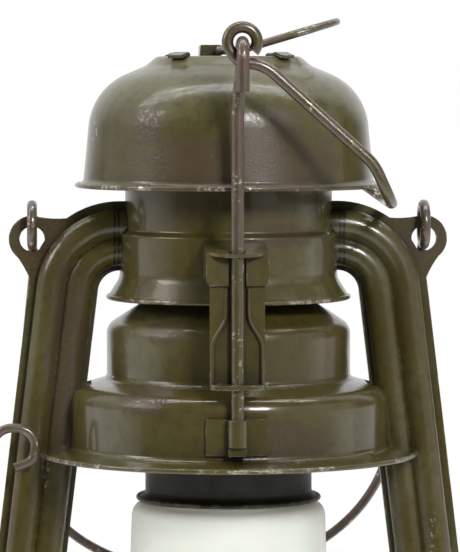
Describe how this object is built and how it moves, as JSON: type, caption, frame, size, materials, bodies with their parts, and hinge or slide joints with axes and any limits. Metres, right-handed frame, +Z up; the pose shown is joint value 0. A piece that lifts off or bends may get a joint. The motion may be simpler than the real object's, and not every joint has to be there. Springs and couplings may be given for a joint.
{
  "type": "hurricane lantern",
  "caption": "Tubular hurricane oil lantern with flanged storm cap, domed hood, frosted globe, two side tubes, lift rods and bail, and a swinging wire handle.",
  "frame": {"origin": "middle of the foot ring, on the surface that the lantern stands on", "axes": "+Z up, -Y the front with the wick knob and the front lift rod, +X and -X the two side tubes"},
  "size_m": [0.1396, 0.1232, 0.2829],
  "materials": {
    "olive_paint": "semi-gloss olive drab paint, worn",
    "dark_metal": "dull black",
    "worn_wire": "aged wire with worn paint",
    "brass": "dull",
    "frosted_glass": "frosted white",
    "cotton": "woven cotton",
    "cork_rubber": "matte"
  },
  "bodies": {
    "frame": {"fount_pan": "olive_paint", "fount_shell": "olive_paint", "filler_neck": "olive_paint", "air_drum": "olive_paint", "spindle_bush": "brass", "burner_collar": "brass", "burner_body": "brass", "wick_tube": "brass", "burner_cone": "brass", "left_tube_front": "olive_paint", "left_tube_rear": "olive_paint", "right_tube_front": "olive_paint", "right_tube_rear": "olive_paint", "crown_chamber": "olive_paint", "flue_tube": "olive_paint", "hood": "olive_paint", "hood_spider": "olive_paint", "ring_strap": "olive_paint", "rod_guide_front": "olive_paint", "rod_guide_rear": "olive_paint", "lever_bracket": "olive_paint"},
    "cap_group": {"storm_cap": "olive_paint", "globe_collar": "dark_metal", "rod_clip_front": "olive_paint", "rod_clip_rear": "olive_paint", "lift_rod_front": "worn_wire", "lift_rod_rear": "worn_wire"},
    "lift_bail": {"lift_bail": "worn_wire"},
    "hood_ring": {"hood_ring": "worn_wire"},
    "carry_bail": {"carry_bail": "worn_wire"},
    "globe_stage": {"globe": "frosted_glass", "globe_plate": "olive_paint", "globe_gallery": "olive_paint"},
    "lever": {"globe_lever": "worn_wire"},
    "wick_drive": {"wick_knob": "brass", "wick_spindle": "brass", "spur_wheels": "brass"},
    "wick": {"wick": "cotton"},
    "filler_seal": {"filler_seal": "cork_rubber"},
    "filler_cap": {"filler_cap": "olive_paint"}
  },
  "joints": [
    {"name": "lever_turn", "type": "hinge", "parent": "frame", "child": "lever", "pos_m": [-0.042, 0, 0.0615], "axis": [0, -1, 0], "range_deg": [0, 38.1]},
    {"name": "stage_rise", "type": "slide", "parent": "frame", "child": "globe_stage", "axis": [0, 0, 1], "range_m": [0, 0.006]},
    {"name": "cap_rise", "type": "slide", "parent": "frame", "child": "cap_group", "axis": [0, 0, 1], "range_m": [0, 0.006]},
    {"name": "lift_bail_swing", "type": "hinge", "parent": "cap_group", "child": "lift_bail", "pos_m": [0.0009, 0, 0.27205], "axis": [0, -0.9964, 0.0842], "range_deg": [0, 260]},
    {"name": "hood_ring_swing", "type": "hinge", "parent": "frame", "child": "hood_ring", "pos_m": [-0.0027, 0, 0.2744], "axis": [0, -1, 0], "range_deg": [-4, 150]},
    {"name": "carry_bail_swing", "type": "hinge", "parent": "frame", "child": "carry_bail", "pos_m": [0, 0, 0.2292], "axis": [1, 0, 0], "range_deg": [0, 301]},
    {"name": "wick_turn", "type": "hinge", "parent": "frame", "child": "wick_drive", "pos_m": [0.00585, -0.047, 0.049], "axis": [0, 1, 0], "range_deg": [-150, 40]},
    {"name": "wick_rise", "type": "slide", "parent": "frame", "child": "wick", "axis": [0, 0, 1], "range_m": [-0.0118, 0.00315]},
    {"name": "filler_rise", "type": "slide", "parent": "frame", "child": "filler_seal", "axis": [0, 0, 1], "range_m": [0, 0.00601]},
    {"name": "filler_turn", "type": "hinge", "parent": "filler_seal", "child": "filler_cap", "pos_m": [0.03246, -0.03868, 0.043], "axis": [0, 0, 1], "range_deg": [0, 720]}
  ],
  "couplings": [
    {"joint": "stage_rise", "follows": "lever_turn", "m_per_rad": 0.009},
    {"joint": "cap_rise", "follows": "lever_turn", "m_per_rad": 0.009},
    {"joint": "wick_rise", "follows": "wick_turn", "m_per_rad": 0.0045},
    {"joint": "filler_rise", "follows": "filler_turn", "m_per_rad": 0.00047746}
  ]
}
